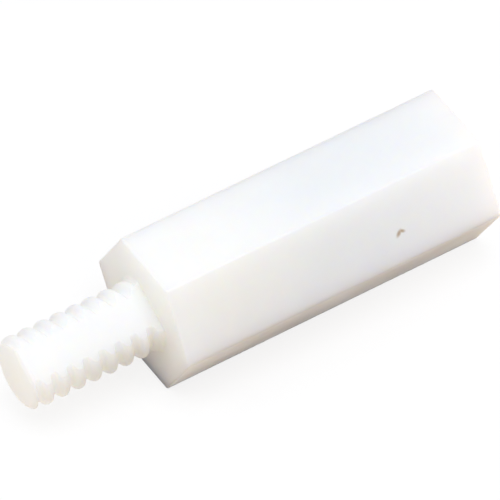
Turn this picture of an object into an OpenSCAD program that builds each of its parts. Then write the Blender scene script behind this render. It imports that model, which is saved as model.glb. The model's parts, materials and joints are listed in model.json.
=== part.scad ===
// Hex standoff: a moulded nylon spacer with a screw-threaded stud on one end
// and a blind threaded socket in the other.
// It lies on one of its flats with its axis along X. The origin is on the axis,
// in the shoulder plane where the stud leaves the hex, and the stud points to -X.

/* [Hex body] */
// Width across the flats (1/4 inch, less what the nylon shrinks)
body_af = 6.2; // [5:0.05:10]
// Length of the hex from the shoulder to the socket end (5/8 inch)
body_length = 15.875; // [13:0.125:40]
// Radius along the six long edges
edge_radius = 0.15; // [0.05:0.05:0.4]
// Bevel round the two ends of the hex
end_bevel = 0.08; // [0.02:0.02:0.3]

/* [Stud] */
// Diameter over the crests of the stud's thread (number 6 screw)
stud_d = 3.4; // [2:0.05:4.2]
// Length of the stud from the shoulder to the tip (1/4 inch)
stud_length = 6.35; // [4:0.05:12]
// Bevel at the tip that leads a nut on
tip_bevel = 0.35; // [0.1:0.05:0.8]
// Depth of the flat that clears the thread along the mould's parting line
flat_depth = 0.45; // [0.1:0.05:0.6]
// Fillet round the foot of the stud
foot_fillet = 0.15; // [0.05:0.05:0.3]

/* [Socket] */
// Diameter of the hole, measured between the crests of its thread
socket_d = 2.75; // [1.5:0.05:3.5]
// Depth of the hole at its full diameter (3/8 inch)
socket_depth = 9.525; // [5:0.125:12]
// Width of the countersink at the mouth, measured along the end face
mouth_bevel = 0.45; // [0.1:0.05:0.7]
// Angle of the conical floor, as a drill point leaves it
floor_angle = 118; // [90:1:170]

/* [Finish] */
// Colour of the nylon
nylon = "ivory"; // [ivory, white, black, dimgray]

/* [Hidden] */
$fn = 96;
// Length by which one shape runs into the next, or a cutter past its face
overlap = 1;

stud_r = stud_d / 2;
flat_reach = stud_r - flat_depth;
// The parting line, and the flat on it, run along this corner of the hex
flat_turn = 210;
socket_r = socket_d / 2;
mouth_r = socket_r + mouth_bevel;
floor_depth = socket_r / tan(floor_angle / 2);
// The centres of the rounded edges lie on this circle, one flat's width apart
edge_circle_r = (body_af / 2 - edge_radius) / cos(30);
flat_width = edge_circle_r;

// Section of the hex: three bars from flat to flat, and a round on each corner
module hex_section() {
    for (turn = [0:60:120])
        rotate(turn) square([body_af, flat_width], center = true);
    for (turn = [30:60:330])
        rotate(turn) translate([edge_circle_r, 0]) circle(r = edge_radius);
}

// A slab as thick as the hex is across one pair of flats, bevelled along its ends
module bevelled_slab() {
    half = body_af / 2;
    rotate([90, 0, 0])
        linear_extrude(height = 2 * body_af, center = true)
            polygon([
                [half - end_bevel, 0],
                [half, end_bevel],
                [half, body_length - end_bevel],
                [half - end_bevel, body_length],
                [end_bevel - half, body_length],
                [-half, body_length - end_bevel],
                [-half, end_bevel],
                [end_bevel - half, 0],
            ]);
}

module hex_body() {
    intersection() {
        linear_extrude(height = body_length) hex_section();
        intersection_for (turn = [0:60:120])
            rotate(turn) bevelled_slab();
    }
}

// The stud out to its thread crests, with the fillet at its foot and the flat on one side
module stud() {
    foot_r = stud_r + foot_fillet;
    mirror([0, 0, 1])
        difference() {
            rotate_extrude()
                difference() {
                    polygon([
                        [0, -overlap],
                        [foot_r, -overlap],
                        [foot_r, foot_fillet],
                        [stud_r, foot_fillet],
                        [stud_r, stud_length - tip_bevel],
                        [stud_r - tip_bevel, stud_length],
                        [0, stud_length],
                    ]);
                    translate([foot_r, foot_fillet]) circle(r = foot_fillet);
                }
            rotate(flat_turn)
                translate([flat_reach, -stud_d, -2 * overlap])
                    cube([stud_d, 2 * stud_d, stud_length + 3 * overlap]);
        }
}

// The space of the socket: conical floor, wall and countersunk mouth
module socket() {
    translate([0, 0, body_length])
        rotate_extrude()
            polygon([
                [0, -socket_depth - floor_depth],
                [socket_r, -socket_depth],
                [socket_r, -mouth_bevel],
                [mouth_r, 0],
                [mouth_r, overlap],
                [0, overlap],
            ]);
}

module standoff() {
    color(nylon)
        rotate([0, 90, 0])
            difference() {
                union() {
                    hex_body();
                    stud();
                }
                socket();
            }
}

standoff();
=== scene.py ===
"""Hex standoff moulded in one piece from natural nylon, with a stud at one end and a socket in the other.

It lies on one flat along X, as in the photograph: the shoulder stands at the origin, the stud
points to -X and the socket opens to +X. Solids are modelled in millimetres and end in metres.
"""

import json
import logging
import math
from collections.abc import Sequence
from dataclasses import dataclass, field
from enum import Enum

import bmesh
import bpy
from mathutils import Matrix, Vector


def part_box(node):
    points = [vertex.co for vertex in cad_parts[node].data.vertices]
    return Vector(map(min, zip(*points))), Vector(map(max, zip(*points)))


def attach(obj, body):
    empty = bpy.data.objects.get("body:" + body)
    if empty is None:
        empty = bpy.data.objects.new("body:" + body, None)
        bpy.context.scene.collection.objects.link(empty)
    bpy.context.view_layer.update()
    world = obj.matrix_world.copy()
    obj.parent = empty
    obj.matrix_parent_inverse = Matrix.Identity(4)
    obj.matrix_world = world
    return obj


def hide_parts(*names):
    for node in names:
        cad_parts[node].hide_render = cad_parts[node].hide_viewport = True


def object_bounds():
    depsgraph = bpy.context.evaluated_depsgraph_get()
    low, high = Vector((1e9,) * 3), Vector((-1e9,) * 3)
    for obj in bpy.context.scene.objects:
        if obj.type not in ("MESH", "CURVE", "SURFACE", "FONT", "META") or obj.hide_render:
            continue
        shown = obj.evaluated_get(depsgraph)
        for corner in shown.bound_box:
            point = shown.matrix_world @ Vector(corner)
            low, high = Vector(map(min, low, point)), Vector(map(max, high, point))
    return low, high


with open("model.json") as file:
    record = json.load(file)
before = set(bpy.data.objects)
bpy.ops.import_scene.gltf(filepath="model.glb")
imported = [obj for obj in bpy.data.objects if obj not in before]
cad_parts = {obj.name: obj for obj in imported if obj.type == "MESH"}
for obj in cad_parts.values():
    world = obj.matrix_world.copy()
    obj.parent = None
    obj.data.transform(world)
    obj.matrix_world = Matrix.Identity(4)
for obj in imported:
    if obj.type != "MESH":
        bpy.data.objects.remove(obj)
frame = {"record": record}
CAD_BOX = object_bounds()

MM = 0.001
INCH = 25.4
# Points nearer to each other than this are one point, in millimetres.
WELD = 1e-4
# Facets across a fine soft edge, and across a rounding that shows.
FINE_FACETS = 3
ROUND_FACETS = 6

log = logging.getLogger("standoff")


class Hand(Enum):
    """Which way a thread winds, as the sign of its turn for a rise along +X."""

    RIGHT = 1
    LEFT = -1


class Work(Enum):
    """How one solid is worked with another, in the Boolean modifier's own words."""

    JOIN = "UNION"
    CUT = "DIFFERENCE"
    TRIM = "INTERSECT"


def linear(colour: str) -> tuple[float, float, float, float]:
    """Turns an sRGB hex colour into the linear values that a shader takes.

    Args:
        colour: Six hex digits after a hash mark.

    Returns:
        Linear red, green and blue, with an alpha of 1.
    """
    channels = (int(colour[at : at + 2], 16) / 255 for at in (1, 3, 5))
    red, green, blue = (c / 12.92 if c <= 0.04045 else ((c + 0.055) / 1.055) ** 2.4 for c in channels)
    return red, green, blue, 1.0


def add_node(
    tree: bpy.types.NodeTree,
    kind: str,
    settings: dict[str, object] | None = None,
    links: dict[str, tuple[bpy.types.Node, str]] | None = None,
) -> bpy.types.Node:
    """Adds a node with its settings and its incoming links.

    Args:
        tree: The node tree of a material or a world.
        kind: The node's type name in Blender.
        settings: Values by the name of a property of the node, or else the identifier of an input.
        links: Other nodes and the identifiers of their outputs, by the identifier of the input.

    Returns:
        The new node.
    """
    node = tree.nodes.new(kind)
    inputs = {socket.identifier: socket for socket in node.inputs}
    for name, value in (settings or {}).items():
        if name in inputs:
            inputs[name].default_value = value
        else:
            setattr(node, name, value)
    # A setting can change which inputs the node has.
    inputs = {socket.identifier: socket for socket in node.inputs}
    for name, (source, output) in (links or {}).items():
        outputs = {socket.identifier: socket for socket in source.outputs}
        tree.links.new(outputs[output], inputs[name])
    return node


def turned(outline: Sequence[tuple[float, float]], steps: int) -> bmesh.types.BMesh:
    """Turns an open outline round the X axis into a closed solid.

    Args:
        outline: Places along X and radii in millimetres, with both ends on the axis.
        steps: Facets round the solid.

    Returns:
        The solid.
    """
    solid = bmesh.new()
    points = [solid.verts.new((x, radius, 0)) for x, radius in outline]
    edges = [solid.edges.new(pair) for pair in zip(points, points[1:])]
    bmesh.ops.spin(
        solid,
        geom=points + edges,
        cent=(0, 0, 0),
        axis=(1, 0, 0),
        angle=math.tau,
        steps=steps,
        use_merge=True,
    )
    bmesh.ops.remove_doubles(solid, verts=solid.verts, dist=WELD)
    bmesh.ops.recalc_face_normals(solid, faces=solid.faces)
    return solid


def soften(
    solid: bmesh.types.BMesh, edges: list[bmesh.types.BMEdge], setback: float, segments: int
) -> None:
    """Rounds some edges of a solid.

    Args:
        solid: The solid.
        edges: Its edges to round.
        setback: How far the rounding reaches over each face, in millimetres.
        segments: Facets across the rounding.
    """
    bmesh.ops.bevel(
        solid,
        geom=edges,
        offset=setback,
        offset_type="OFFSET",
        segments=segments,
        profile=0.5,
        affect="EDGES",
        material=-1,
    )


def as_object(solid: bmesh.types.BMesh, name: str) -> bpy.types.Object:
    """Puts a solid into the scene and frees it.

    Args:
        solid: The solid.
        name: The object's name.

    Returns:
        The new object, at the origin.
    """
    mesh = bpy.data.meshes.new(name)
    solid.to_mesh(mesh)
    solid.free()
    piece = bpy.data.objects.new(name, mesh)
    bpy.context.scene.collection.objects.link(piece)
    return piece


def worked(base: bmesh.types.BMesh, tool: bmesh.types.BMesh, work: Work) -> bmesh.types.BMesh:
    """Joins, cuts or trims one closed solid with another, and frees both.

    Args:
        base: The solid that is worked on.
        tool: The solid that it is worked with.
        work: What is done.

    Returns:
        The solid that results.
    """
    held = as_object(base, "held")
    cutter = as_object(tool, "cutter")
    step = held.modifiers.new("work", "BOOLEAN")
    step.operation = work.value
    step.solver = "MANIFOLD"
    step.object = cutter
    seen = held.evaluated_get(bpy.context.evaluated_depsgraph_get())
    result = bmesh.new()
    result.from_mesh(seen.to_mesh())
    seen.to_mesh_clear()
    for spent in (held, cutter):
        mesh = spent.data
        bpy.data.objects.remove(spent)
        bpy.data.meshes.remove(mesh)
    return result


@dataclass(frozen=True)
class ThreadForm:
    """A single-start thread with straight flanks, in millimetres.

    Attributes:
        crest_radius: Radius over the crests.
        pitch: Rise of one turn.
        crest_share: Width of the flat crest as a share of the pitch.
        root_share: Width of the flat root as a share of the pitch.
        rounding: Setback of the rounding along each edge of crest and root.
        flank_angle: Angle between the two flanks of the groove, in degrees.
        hand: Which way it winds.
        steps: Facets in one turn.
    """

    crest_radius: float
    pitch: float
    crest_share: float
    root_share: float
    rounding: float
    flank_angle: float = 60.0
    hand: Hand = Hand.RIGHT
    steps: int = 72

    @property
    def flank(self) -> float:
        """Length along X of one sloping flank."""
        return self.pitch * (1 - self.crest_share - self.root_share) / 2

    @property
    def root_radius(self) -> float:
        """Radius at the bottom of the groove, from the flanks' slope."""
        return self.crest_radius - self.flank / math.tan(math.radians(self.flank_angle / 2))

    def bar(self, start: float, end: float, crest_turn: float) -> bmesh.types.BMesh:
        """Makes a threaded bar along X, cut square at both ends.

        Args:
            start: Where the bar begins along X.
            end: Where it ends.
            crest_turn: Angle round X at which the crest crosses the start, in degrees from +Y to +Z.

        Returns:
            The bar as a closed solid.
        """
        # One spare turn at each end goes when the bar is cut square.
        turns = math.ceil((end - start) / self.pitch) + 2
        crest = self.pitch * self.crest_share
        form = (
            (-crest / 2, self.crest_radius),
            (crest / 2, self.crest_radius),
            (crest / 2 + self.flank, self.root_radius),
            (self.pitch - crest / 2 - self.flank, self.root_radius),
            (self.pitch - crest / 2, self.crest_radius),
        )
        solid = bmesh.new()
        points = [solid.verts.new((start - self.pitch + x, radius, 0)) for x, radius in form]
        edges = [solid.edges.new(pair) for pair in zip(points, points[1:])]
        bmesh.ops.spin(
            solid,
            geom=points + edges,
            cent=(0, 0, 0),
            axis=(1, 0, 0),
            dvec=(self.pitch / self.steps, 0, 0),
            angle=math.tau * turns * self.hand.value,
            steps=self.steps * turns,
        )
        bmesh.ops.remove_doubles(solid, verts=solid.verts, dist=WELD)
        self._round_edges(solid)
        turn = Matrix.Rotation(math.radians(crest_turn), 3, "X")
        bmesh.ops.rotate(solid, verts=solid.verts, cent=(0, 0, 0), matrix=turn)
        for place, outward in ((start, -1), (end, 1)):
            bmesh.ops.bisect_plane(
                solid,
                geom=solid.verts[:] + solid.edges[:] + solid.faces[:],
                plane_co=(place, 0, 0),
                plane_no=(outward, 0, 0),
                clear_outer=True,
            )
        bmesh.ops.holes_fill(solid, edges=[e for e in solid.edges if e.is_boundary], sides=0)
        bmesh.ops.recalc_face_normals(solid, faces=solid.faces)
        return solid

    def _round_edges(self, solid: bmesh.types.BMesh) -> None:
        """Rounds the edges of crest and root along the whole helix.

        Args:
            solid: The bare thread surface, before its ends are cut.
        """
        step_rise = self.pitch / self.steps
        step_turn = math.tau / self.steps
        # How far an edge may differ from one step of the helix, as a share of that step.
        near = 0.25
        along_helix = []
        for edge in solid.edges:
            first, second = (v.co for v in edge.verts)
            rise = abs(first.x - second.x)
            turn = first.yz.angle(second.yz)
            if abs(rise - step_rise) < near * step_rise and abs(turn - step_turn) < near * step_turn:
                along_helix.append(edge)
        soften(solid, along_helix, self.rounding, FINE_FACETS)


@dataclass
class HexBody:
    """The hexagonal bar, with two corners out to the sides and a flat underneath, in millimetres.

    Attributes:
        across_flats: Width over a pair of flats.
        length: Length along X from the shoulder.
        edge_radius: Rounding of the six long edges.
        end_bevel: Setback of the soft edge round both ends.
    """

    across_flats: float
    length: float
    edge_radius: float = 0.15
    end_bevel: float = 0.08

    def build(self) -> bmesh.types.BMesh:
        """Extrudes the hexagon and softens its edges.

        Returns:
            The bar as a closed solid.
        """
        sides = 6
        corner_turn = math.tau / sides
        solid = bmesh.new()
        bmesh.ops.create_circle(
            solid,
            cap_ends=True,
            segments=sides,
            radius=self.across_flats / math.sqrt(3),
            matrix=Matrix.Rotation(math.radians(90), 4, "Y"),
        )
        grown = bmesh.ops.extrude_face_region(solid, geom=solid.faces[:])["geom"]
        moved = [part for part in grown if isinstance(part, bmesh.types.BMVert)]
        bmesh.ops.translate(solid, verts=moved, vec=(self.length, 0, 0))
        bmesh.ops.recalc_face_normals(solid, faces=solid.faces)
        long_edges = [e for e in solid.edges if abs(e.verts[0].co.x - e.verts[1].co.x) > self.length / 2]
        soften(solid, long_edges, self.edge_radius * math.tan(corner_turn / 2), ROUND_FACETS)
        end_edges = [e for e in solid.edges if abs(e.verts[0].co.x - e.verts[1].co.x) < self.end_bevel]
        soften(solid, end_edges, self.end_bevel, FINE_FACETS)
        return solid


@dataclass
class ThreadedStud:
    """The male end, threaded from the shoulder to a soft tip, in millimetres.

    Attributes:
        thread: The form of its thread.
        length: Reach from the shoulder to the tip.
        crest_turn: Angle round X at which the crest reaches the tip, in degrees from +Y.
        tip_radius: Rounding of the tip's edge.
        foot_radius: Fillet where it leaves the shoulder.
        run_out: Length over which the groove dies out at the shoulder.
        flat_depth: Depth below the crests of the flat that clears the thread along the parting line.
        flat_turn: Angle round X of the flat, in degrees from +Y, towards a corner of the hex.
        flat_radius: Rounding of the edge between the flat and the tip.
        buried: How far it is carried into the body, to be joined there.
    """

    thread: ThreadForm
    length: float
    crest_turn: float = 218.0
    tip_radius: float = 0.35
    foot_radius: float = 0.15
    run_out: float = 0.4
    flat_depth: float = 0.42
    flat_turn: float = 120.0
    flat_radius: float = 0.25
    buried: float = 1.0

    def build(self) -> bmesh.types.BMesh:
        """Makes the stud with its soft tip, its foot and its flat.

        Returns:
            The stud as a closed solid.
        """
        crest = self.thread.crest_radius
        tip = self.tip_radius
        fillet = self.foot_radius
        blank = turned(
            [
                (-self.length, 0.0),
                *self._arc(-self.length + tip, crest - tip, tip, start=180, end=90),
                (self.buried, crest),
                (self.buried, 0.0),
            ],
            self.thread.steps,
        )
        foot = turned(
            [
                (-self.run_out, 0.0),
                (-self.run_out, self.thread.root_radius),
                *self._arc(-fillet, crest + fillet, fillet, start=270, end=360),
                (self.buried, crest + fillet),
                (self.buried, 0.0),
            ],
            self.thread.steps,
        )
        bar = self.thread.bar(-self.length, self.buried, self.crest_turn)
        solid = worked(worked(bar, blank, Work.TRIM), foot, Work.JOIN)
        return worked(solid, self._flat_block(), Work.TRIM)

    def _flat_block(self) -> bmesh.types.BMesh:
        """Makes the block that trims the stud to its flat, with a round along the tip's edge.

        Returns:
            The block as a closed solid.
        """
        flat_reach = self.thread.crest_radius - self.flat_depth
        # Twice as wide as the stud, so that only the flat and its round cut the stud.
        width = 4 * self.thread.crest_radius
        block = bmesh.new()
        bmesh.ops.create_cube(block, size=1.0)
        bmesh.ops.scale(block, verts=block.verts, vec=(self.length + 2 * self.buried, width, width))
        bmesh.ops.translate(
            block, verts=block.verts, vec=(self.buried - self.length / 2, flat_reach - width / 2, 0)
        )
        tip_edge = [
            edge
            for edge in block.edges
            if all(v.co.x < -self.length / 2 and v.co.y > flat_reach / 2 for v in edge.verts)
        ]
        soften(block, tip_edge, self.flat_radius, ROUND_FACETS)
        turn = Matrix.Rotation(math.radians(self.flat_turn), 3, "X")
        bmesh.ops.rotate(block, verts=block.verts, cent=(0, 0, 0), matrix=turn)
        return block

    @staticmethod
    def _arc(x: float, radius: float, reach: float, start: float, end: float) -> list[tuple[float, float]]:
        """Gives the points of a round stretch of an outline.

        Args:
            x: Place of the arc's centre along X.
            radius: Distance of its centre from the axis.
            reach: The arc's own radius.
            start: Angle of its first point, in degrees from +X towards outward.
            end: Angle of its last point.

        Returns:
            Places along X and radii.
        """
        shares = (step / ROUND_FACETS for step in range(ROUND_FACETS + 1))
        angles = [math.radians(start + (end - start) * share) for share in shares]
        return [(x + reach * math.cos(a), radius + reach * math.sin(a)) for a in angles]


@dataclass
class ThreadedSocket:
    """The female end, as the plug that is cut out of the body, in millimetres.

    Attributes:
        thread: The form of its thread, as the groove that a screw's crests run in.
        wall_radius: Radius of the hole inside the thread.
        mouth: Place of the open end along X.
        depth: Depth of the straight wall.
        mouth_bevel: Setback of the lead-in at the mouth.
        floor_angle: Full angle of the pointed floor, in degrees.
        plain_end: Plain length left below the thread.
        over: How far the plug stands out of the mouth.
    """

    thread: ThreadForm
    wall_radius: float
    mouth: float
    depth: float
    mouth_bevel: float = 0.45
    floor_angle: float = 118.0
    plain_end: float = 1.2
    over: float = 0.5

    def build(self) -> bmesh.types.BMesh:
        """Makes the threaded plug with its pointed floor and lead-in.

        Returns:
            The plug as a closed solid.
        """
        floor = self.mouth - self.depth
        point = self.wall_radius / math.tan(math.radians(self.floor_angle / 2))
        plug = turned(
            [
                (floor - point, 0.0),
                (floor, self.wall_radius),
                (self.mouth - self.mouth_bevel, self.wall_radius),
                (self.mouth + self.over, self.wall_radius + self.mouth_bevel + self.over),
                (self.mouth + self.over, 0.0),
            ],
            self.thread.steps,
        )
        groove = self.thread.bar(floor + self.plain_end, self.mouth + self.over / 2, 0.0)
        return worked(plug, groove, Work.JOIN)


@dataclass(frozen=True)
class FleckArm:
    """One straight arm of the fleck, in millimetres.

    Attributes:
        along: Distance of its middle from the fleck's bend, away from the shoulder.
        down: Distance of its middle from the bend, down the side.
        turn: Its direction, in degrees from the bar's length towards down the side.
        half_length: Half its length, out to where it has half faded.
        half_width: Half its width, in the same way.
    """

    along: float
    down: float
    turn: float
    half_length: float
    half_width: float


@dataclass(frozen=True)
class Fleck:
    """A small bent brown fleck in the skin of one upper side, in millimetres.

    Attributes:
        side_turn: Direction of down that side, in degrees round X from +Y towards +Z.
        along: Distance of its bend from the shoulder.
        down: Distance of its bend down the side, from the side's upper edge.
        arms: Its two arms.
        depth: How deep it lies in the skin.
        core: Where it begins to fade, as a share of the arm's half sizes.
        rim: Where it has faded, in the same way.
        colour: Its darkest colour.
    """

    side_turn: float = 240.0
    along: float = 11.113
    down: float = 2.159
    arms: tuple[FleckArm, ...] = (
        FleckArm(along=-0.09, down=0.087, turn=135.0, half_length=0.165, half_width=0.08),
        FleckArm(along=0.075, down=0.045, turn=27.6, half_length=0.13, half_width=0.065),
    )
    depth: float = 0.1
    core: float = 0.25
    rim: float = 1.75
    colour: str = "#BDAC98"


@dataclass(frozen=True)
class MouldedNylon:
    """Natural nylon as it leaves the mould.

    It is milky and lets light soak in for a few millimetres, so edges glow, shadows fill and light
    that has gone far inside comes out warmer. The skin is even, with a soft wax-like sheen and a
    slight cloudiness.

    Attributes:
        clear_colour: Colour of the body.
        cloudy_colour: Colour of the faint clouds in it.
        cloud_size: Width of a cloud in millimetres.
        cloud_range: Cloudiness where the skin is glossiest, and where it is dullest.
        grain_size: Width of the skin's unevenness in millimetres, drawn as coarse as it needs to show.
        grain_height: Height of that unevenness in millimetres.
        soak: How far light travels inside, in millimetres, in the channel that goes furthest.
        soak_tint: Share of that distance for red, green and blue.
        sheen_low: Roughness where the skin is glossiest.
        sheen_high: Roughness where it is dullest.
        index: Refractive index.
        reflection: How much of the mirror reflection is left by the dull skin, 0.5 being all of it.
        fleck: The brown mark.
    """

    clear_colour: str = "#F7F7F5"
    cloudy_colour: str = "#F1F1EE"
    cloud_size: float = 2.5
    cloud_range: tuple[float, float] = (0.3, 0.7)
    grain_size: float = 0.3
    grain_height: float = 0.002
    soak: float = 2.8
    soak_tint: tuple[float, float, float] = (1.0, 0.83, 0.6)
    sheen_low: float = 0.28
    sheen_high: float = 0.38
    index: float = 1.53
    reflection: float = 0.2
    fleck: Fleck = field(default_factory=Fleck)

    def material(self, across_flats: float) -> bpy.types.Material:
        """Makes the material.

        Args:
            across_flats: Width of the bar over its flats in millimetres, which places the fleck.

        Returns:
            The material.
        """
        nylon = bpy.data.materials.new("natural nylon, moulded")
        nylon.use_nodes = True
        tree = nylon.node_tree
        tree.nodes.clear()
        place = add_node(tree, "ShaderNodeTexCoord")
        clouds = add_node(
            tree,
            "ShaderNodeTexNoise",
            {"Scale": 1 / (self.cloud_size * MM), "Detail": 3.0},
            {"Vector": (place, "Object")},
        )
        body = add_node(
            tree,
            "ShaderNodeMix",
            {
                "data_type": "RGBA",
                "A_Color": linear(self.clear_colour),
                "B_Color": linear(self.cloudy_colour),
            },
            {"Factor_Float": (clouds, "Fac")},
        )
        share = self._fleck_share(tree, place, across_flats)
        marked = add_node(
            tree,
            "ShaderNodeMix",
            {"data_type": "RGBA", "B_Color": linear(self.fleck.colour)},
            {"Factor_Float": (share, "Result"), "A_Color": (body, "Result_Color")},
        )
        grain = add_node(
            tree,
            "ShaderNodeTexNoise",
            {"Scale": 1 / (self.grain_size * MM), "Detail": 2.0},
            {"Vector": (place, "Object")},
        )
        glossiest, dullest = self.cloud_range
        sheen = add_node(
            tree,
            "ShaderNodeMapRange",
            {
                "From Min": glossiest,
                "From Max": dullest,
                "To Min": self.sheen_low,
                "To Max": self.sheen_high,
            },
            {"Value": (clouds, "Fac")},
        )
        skin = add_node(
            tree,
            "ShaderNodeBump",
            {"Strength": 1.0, "Distance": self.grain_height * MM},
            {"Height": (grain, "Fac")},
        )
        shader = add_node(
            tree,
            "ShaderNodeBsdfPrincipled",
            {
                "subsurface_method": "RANDOM_WALK",
                "Subsurface Weight": 1.0,
                "Subsurface Radius": self.soak_tint,
                "Subsurface Scale": self.soak * MM,
                "IOR": self.index,
                "Specular IOR Level": self.reflection,
            },
            {
                "Base Color": (marked, "Result_Color"),
                "Roughness": (sheen, "Result"),
                "Normal": (skin, "Normal"),
            },
        )
        add_node(tree, "ShaderNodeOutputMaterial", links={"Surface": (shader, "BSDF")})
        return nylon

    def _fleck_share(
        self, tree: bpy.types.NodeTree, place: bpy.types.Node, across_flats: float
    ) -> bpy.types.Node:
        """Works out how much of the fleck's colour shows at each place.

        Args:
            tree: The material's node tree.
            place: The node that gives Object coordinates.
            across_flats: Width of the bar over its flats in millimetres.

        Returns:
            A node whose Result is 1 in the fleck and falls to 0 round it.
        """
        fleck = self.fleck
        side_turn = Matrix.Rotation(math.radians(fleck.side_turn), 3, "X")
        side_edge = Vector((0, -across_flats / math.sqrt(3) / 2, across_flats / 2))
        ways_off = []
        for arm in fleck.arms:
            middle = side_edge + side_turn @ Vector((0, fleck.down + arm.down, 0))
            middle.x = fleck.along + arm.along
            local = add_node(
                tree,
                "ShaderNodeMapping",
                {
                    "vector_type": "TEXTURE",
                    "Location": middle * MM,
                    "Rotation": (side_turn @ Matrix.Rotation(math.radians(arm.turn), 3, "Z")).to_euler(),
                    "Scale": (arm.half_length * MM, arm.half_width * MM, fleck.depth * MM),
                },
                {"Vector": (place, "Object")},
            )
            way_off = add_node(
                tree, "ShaderNodeVectorMath", {"operation": "LENGTH"}, {"Vector": (local, "Vector")}
            )
            ways_off.append(way_off)
        first, second = ways_off
        nearest = add_node(
            tree,
            "ShaderNodeMath",
            {"operation": "MINIMUM"},
            {"Value": (first, "Value"), "Value_001": (second, "Value")},
        )
        return add_node(
            tree,
            "ShaderNodeMapRange",
            {
                "interpolation_type": "SMOOTHSTEP",
                "From Min": fleck.core,
                "From Max": fleck.rim,
                "To Min": 1.0,
                "To Max": 0.0,
            },
            {"Value": (nearest, "Value")},
        )


@dataclass
class Standoff:
    """The whole moulding: the hex body, the stud on its shoulder and the socket in its far end.

    Attributes:
        body: The hex bar.
        stud: The male end.
        socket: The female end.
        finish: What it is moulded from.
        smooth_below: Edges flatter than this shade as one surface, in degrees.
    """

    body: HexBody
    stud: ThreadedStud
    socket: ThreadedSocket
    finish: MouldedNylon = field(default_factory=MouldedNylon)
    smooth_below: float = 40.0

    @classmethod
    def from_frame(cls, node: str, record: dict) -> "Standoff":
        """Takes the main sizes from the CAD node and the record.

        Args:
            node: The CAD node's name.
            record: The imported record.

        Returns:
            The standoff, not built yet.
        """
        low, high = (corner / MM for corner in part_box(node))
        mounts = {mount["name"]: mount["dims"] for mount in record["mounts"]}
        threads_per_inch = 32
        pitch = INCH / threads_per_inch
        stud_radius = mounts["stud"]["r_mm"]
        # What each thread stands back from the stud's own radius, so that one turns in the other.
        play = 0.03
        outer = ThreadForm(
            crest_radius=stud_radius - play, pitch=pitch, crest_share=0.30, root_share=0.34, rounding=0.09
        )
        inner = ThreadForm(
            crest_radius=stud_radius + play, pitch=pitch, crest_share=0.125, root_share=0.25, rounding=0.03
        )
        return cls(
            body=HexBody(across_flats=high.z - low.z, length=high.x),
            stud=ThreadedStud(thread=outer, length=-low.x),
            socket=ThreadedSocket(
                thread=inner,
                wall_radius=mounts["socket"]["r_mm"],
                mouth=high.x,
                depth=mounts["socket"]["length_mm"] + ThreadedSocket.mouth_bevel,
            ),
        )

    def build(self) -> bpy.types.Object:
        """Joins stud and body, cuts the socket and shades the surface smooth.

        Returns:
            The piece, in metres.
        """
        solid = worked(self.body.build(), self.stud.build(), Work.JOIN)
        solid = worked(solid, self.socket.build(), Work.CUT)
        bmesh.ops.scale(solid, verts=solid.verts, vec=(MM, MM, MM))
        piece = as_object(solid, "standoff_moulding")
        for face in piece.data.polygons:
            face.use_smooth = True
        piece.data.set_sharp_from_angle(angle=math.radians(self.smooth_below))
        even = piece.modifiers.new("even shading", "WEIGHTED_NORMAL")
        even.keep_sharp = True
        return piece

    def dress(self, piece: bpy.types.Object) -> None:
        """Gives the piece its finish."""
        piece.data.materials.append(self.finish.material(self.body.across_flats))


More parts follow.
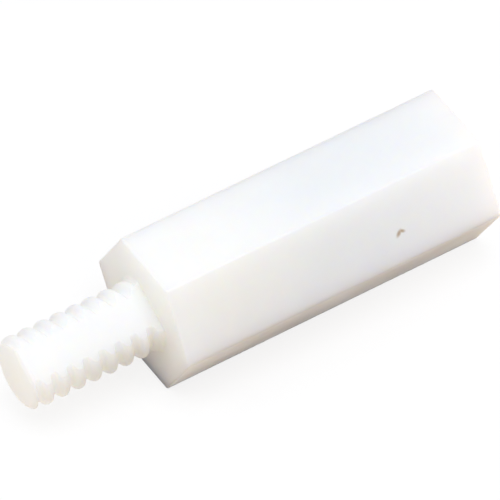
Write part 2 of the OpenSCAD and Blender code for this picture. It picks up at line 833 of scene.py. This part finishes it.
@dataclass(frozen=True)
class PaleFloor:
    """Matt white paper, seen as plain white with the object's soft shadow; the light it throws back is
    painted, pale under the stud and brown under the body.

    Attributes:
        seen_colour: Colour that the camera and reflections see.
        stud_painted_bounce_light: Colour of the light that it throws back on the stud: painted light,
            pale, only under the stud, to light its underside.
        body_painted_bounce_shade: Colour of the light that it throws back on the body: painted shade,
            brown, only under the body, to darken its lower sides.
        change: Where the one colour begins to give way to the other, and where it ends, in millimetres.
        change_turn: Direction in which it does, in degrees from +X towards -Y.
        glow: Share of the seen white that no shadow darkens.
        width: Width of the sheet in metres.
        gap: How far it lies under the object, in millimetres.
    """

    seen_colour: str = "#FFFFFF"
    # Painted bounce: pale light under the stud, brown shade under the body.
    stud_painted_bounce_light: str = "#FFF3E2"
    body_painted_bounce_shade: str = "#86602A"
    change: tuple[float, float] = (-3.6, 0.5)
    change_turn: float = 6.0
    glow: float = 0.8
    width: float = 4.0
    gap: float = 0.004

    def build(self, height: float) -> bpy.types.Object:
        """Lays the sheet.

        Args:
            height: Level of the object's lowest point in metres.

        Returns:
            The floor.
        """
        sheet = bmesh.new()
        bmesh.ops.create_grid(sheet, x_segments=1, y_segments=1, size=self.width / 2)
        bmesh.ops.translate(sheet, verts=sheet.verts, vec=(0, 0, height - self.gap * MM))
        floor = as_object(sheet, "floor")
        floor.data.materials.append(self.material())
        return floor

    def material(self) -> bpy.types.Material:
        """Makes the paper, white to the eye and warm in the light it throws back.

        Returns:
            The material.
        """
        paper = bpy.data.materials.new("white paper, painted bounce")
        paper.use_nodes = True
        tree = paper.node_tree
        tree.nodes.clear()
        seen = seen_rays(tree)
        place = add_node(tree, "ShaderNodeTexCoord")
        turn = math.radians(self.change_turn)
        reach = add_node(
            tree,
            "ShaderNodeVectorMath",
            {"operation": "DOT_PRODUCT", "Vector_001": (math.cos(turn), -math.sin(turn), 0)},
            {"Vector": (place, "Object")},
        )
        start, end = (x * MM for x in self.change)
        share = add_node(
            tree,
            "ShaderNodeMapRange",
            {"interpolation_type": "SMOOTHSTEP", "From Min": start, "From Max": end},
            {"Value": (reach, "Value")},
        )
        # Painted light and shade: the thrown light turns from pale under the stud to brown under the body.
        thrown = add_node(
            tree,
            "ShaderNodeMix",
            {
                "data_type": "RGBA",
                "A_Color": linear(self.stud_painted_bounce_light),
                "B_Color": linear(self.body_painted_bounce_shade),
            },
            {"Factor_Float": (share, "Result")},
        )
        bounce = add_node(tree, "ShaderNodeBsdfDiffuse", links={"Color": (thrown, "Result_Color")})
        sheet = add_node(tree, "ShaderNodeBsdfDiffuse", {"Color": linear(self.seen_colour)})
        white = add_node(tree, "ShaderNodeEmission", {"Color": linear(self.seen_colour), "Strength": 1.0})
        shown = add_node(
            tree,
            "ShaderNodeMixShader",
            {"Fac": self.glow},
            {"Shader": (sheet, "BSDF"), "Shader_001": (white, "Emission")},
        )
        both = add_node(
            tree,
            "ShaderNodeMixShader",
            links={"Fac": (seen, "Value"), "Shader": (bounce, "BSDF"), "Shader_001": (shown, "Shader")},
        )
        add_node(tree, "ShaderNodeOutputMaterial", links={"Surface": (both, "Shader")})
        return paper


def seen_rays(tree: bpy.types.NodeTree) -> bpy.types.Node:
    """Tells rays that show a surface, straight or in a reflection, from those that only light others.

    Args:
        tree: The node tree of a material or a world.

    Returns:
        A node whose Value is 1 for camera, glossy and transmission rays, and 0 for the rest.
    """
    path = add_node(tree, "ShaderNodeLightPath")
    mirrored = add_node(
        tree,
        "ShaderNodeMath",
        {"operation": "MAXIMUM"},
        {"Value": (path, "Is Glossy Ray"), "Value_001": (path, "Is Transmission Ray")},
    )
    return add_node(
        tree,
        "ShaderNodeMath",
        {"operation": "MAXIMUM"},
        {"Value": (path, "Is Camera Ray"), "Value_001": (mirrored, "Value")},
    )


@dataclass(frozen=True)
class Softbox:
    """A round soft lamp aimed at the object.

    Attributes:
        name: What the lamp is for.
        azimuth: Where it hangs round the object, in degrees from -Y towards +X.
        elevation: How high it hangs, in degrees.
        distance: Its distance in metres.
        width: Its width in metres.
        level: Its share of the light that makes a white card facing it render white.
        colour: Its colour.
    """

    name: str
    azimuth: float
    elevation: float
    distance: float
    width: float
    level: float
    colour: str

    def hang(self, target: Vector) -> bpy.types.Object:
        """Hangs the lamp.

        Args:
            target: What it is aimed at.

        Returns:
            The lamp.
        """
        lamp = bpy.data.lights.new(self.name, "AREA")
        lamp.shape = "DISK"
        lamp.size = self.width
        lamp.color = linear(self.colour)[:3]
        # The power at which a white card on the target, facing the lamp, is as bright as the level says.
        lamp.energy = self.level * math.pi**2 * (self.distance**2 + (self.width / 2) ** 2)
        hung = bpy.data.objects.new(self.name, lamp)
        outward = towards(self.azimuth, self.elevation)
        hung.location = target + outward * self.distance
        hung.rotation_euler = outward.to_track_quat("Z", "Y").to_euler()
        bpy.context.scene.collection.objects.link(hung)
        return hung


def towards(azimuth: float, elevation: float) -> Vector:
    """Gives the direction from the object to a place around it.

    Args:
        azimuth: Degrees round the object from -Y towards +X.
        elevation: Degrees above the floor.

    Returns:
        A direction of length 1.
    """
    turn, lift = math.radians(azimuth), math.radians(elevation)
    return Vector((math.sin(turn) * math.cos(lift), -math.cos(turn) * math.cos(lift), math.sin(lift)))


@dataclass
class Studio:
    """The stage: a white floor under an even pale sky, with soft lamps.

    Attributes:
        floor: The sheet that the object lies on.
        lamps: The soft lamps.
        sky_colour: Colour of the even light all round.
        sky_level: Strength of that light.
        seen_colour: Colour of the sky that the camera and reflections see.
    """

    floor: PaleFloor = field(default_factory=PaleFloor)
    lamps: tuple[Softbox, ...] = (
        Softbox(
            "key", azimuth=-10.0, elevation=75.0, distance=0.5, width=0.35, level=0.41, colour="#F6F9FF"
        ),
        Softbox(
            "left", azimuth=-105.0, elevation=50.0, distance=0.04, width=0.02, level=0.12, colour="#F6FAFF"
        ),
        Softbox(
            "right", azimuth=72.0, elevation=8.0, distance=0.04, width=0.016, level=0.32, colour="#FFFFFF"
        ),
    )
    sky_colour: str = "#FCFCFD"
    sky_level: float = 0.59
    seen_colour: str = "#FFFFFF"

    def build(self, low: Vector, high: Vector) -> None:
        """Sets up floor, lamps and sky round the object.

        Args:
            low: Lowest corner of the object's box.
            high: Its highest corner.
        """
        middle = (low + high) / 2
        self.floor.build(low.z)
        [lamp.hang(middle) for lamp in self.lamps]
        self._sky()
        bpy.context.scene.view_settings.view_transform = "Standard"

    def _sky(self) -> None:
        """Makes the sky, which shows as plain white and lights the object more softly."""
        world = bpy.data.worlds.new("studio sky")
        world.use_nodes = True
        bpy.context.scene.world = world
        tree = world.node_tree
        tree.nodes.clear()
        light = add_node(
            tree, "ShaderNodeBackground", {"Color": linear(self.sky_colour), "Strength": self.sky_level}
        )
        white = add_node(
            tree, "ShaderNodeBackground", {"Color": linear(self.seen_colour), "Strength": 1.0}
        )
        both = add_node(
            tree,
            "ShaderNodeMixShader",
            links={
                "Fac": (seen_rays(tree), "Value"),
                "Shader": (light, "Background"),
                "Shader_001": (white, "Background"),
            },
        )
        add_node(tree, "ShaderNodeOutputWorld", links={"Surface": (both, "Shader")})


@dataclass
class PhotoCamera:
    """The camera at the photograph's place, with a long lens.

    Attributes:
        azimuth: Where it stands, in degrees from -Y towards +X.
        elevation: How high it looks down from, in degrees.
        aim: A point on the object's axis, in millimetres.
        aim_pixel: Where that point lies in the picture.
        pixels_per_mm: Scale of the picture at that point.
        picture: Width and height of the picture in pixels.
        distance: Distance to that point in metres.
    """

    azimuth: float = -33.07
    elevation: float = 47.91
    aim: tuple[float, float, float] = (4.589, 0.0, 0.0)
    aim_pixel: tuple[float, float] = (234.5, 270.2)
    pixels_per_mm: float = 23.55
    picture: int = 500
    distance: float = 0.42

    def build(self) -> None:
        """Sets up the camera and makes it the scene's."""
        outward = towards(self.azimuth, self.elevation)
        turn = math.radians(self.azimuth)
        right = Vector((math.cos(turn), math.sin(turn), 0))
        up = outward.cross(right)
        half = self.picture / 2
        aside = (half - self.aim_pixel[0]) / self.pixels_per_mm
        above = (self.aim_pixel[1] - half) / self.pixels_per_mm
        centre = (Vector(self.aim) + right * aside + up * above) * MM
        optics = bpy.data.cameras.new("camera")
        optics.lens = optics.sensor_width * self.distance / (self.picture / self.pixels_per_mm * MM)
        camera = bpy.data.objects.new("camera", optics)
        camera.location = centre + outward * self.distance
        camera.rotation_euler = Matrix((right, up, outward)).transposed().to_euler()
        bpy.context.scene.collection.objects.link(camera)
        bpy.context.scene.camera = camera


def main() -> None:
    """Builds the standoff, its stage and the camera."""
    standoff = Standoff.from_frame("standoff", frame["record"])
    piece = standoff.build()
    standoff.dress(piece)
    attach(piece, "root")
    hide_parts("standoff")
    log.info("%s: %d faces, in place of the CAD solid", piece.name, len(piece.data.polygons))
    low, high = CAD_BOX
    Studio().build(low, high)
    PhotoCamera().build()


if __name__ == "__main__":
    logging.basicConfig(level=logging.INFO, format="%(name)s: %(message)s")
    main()
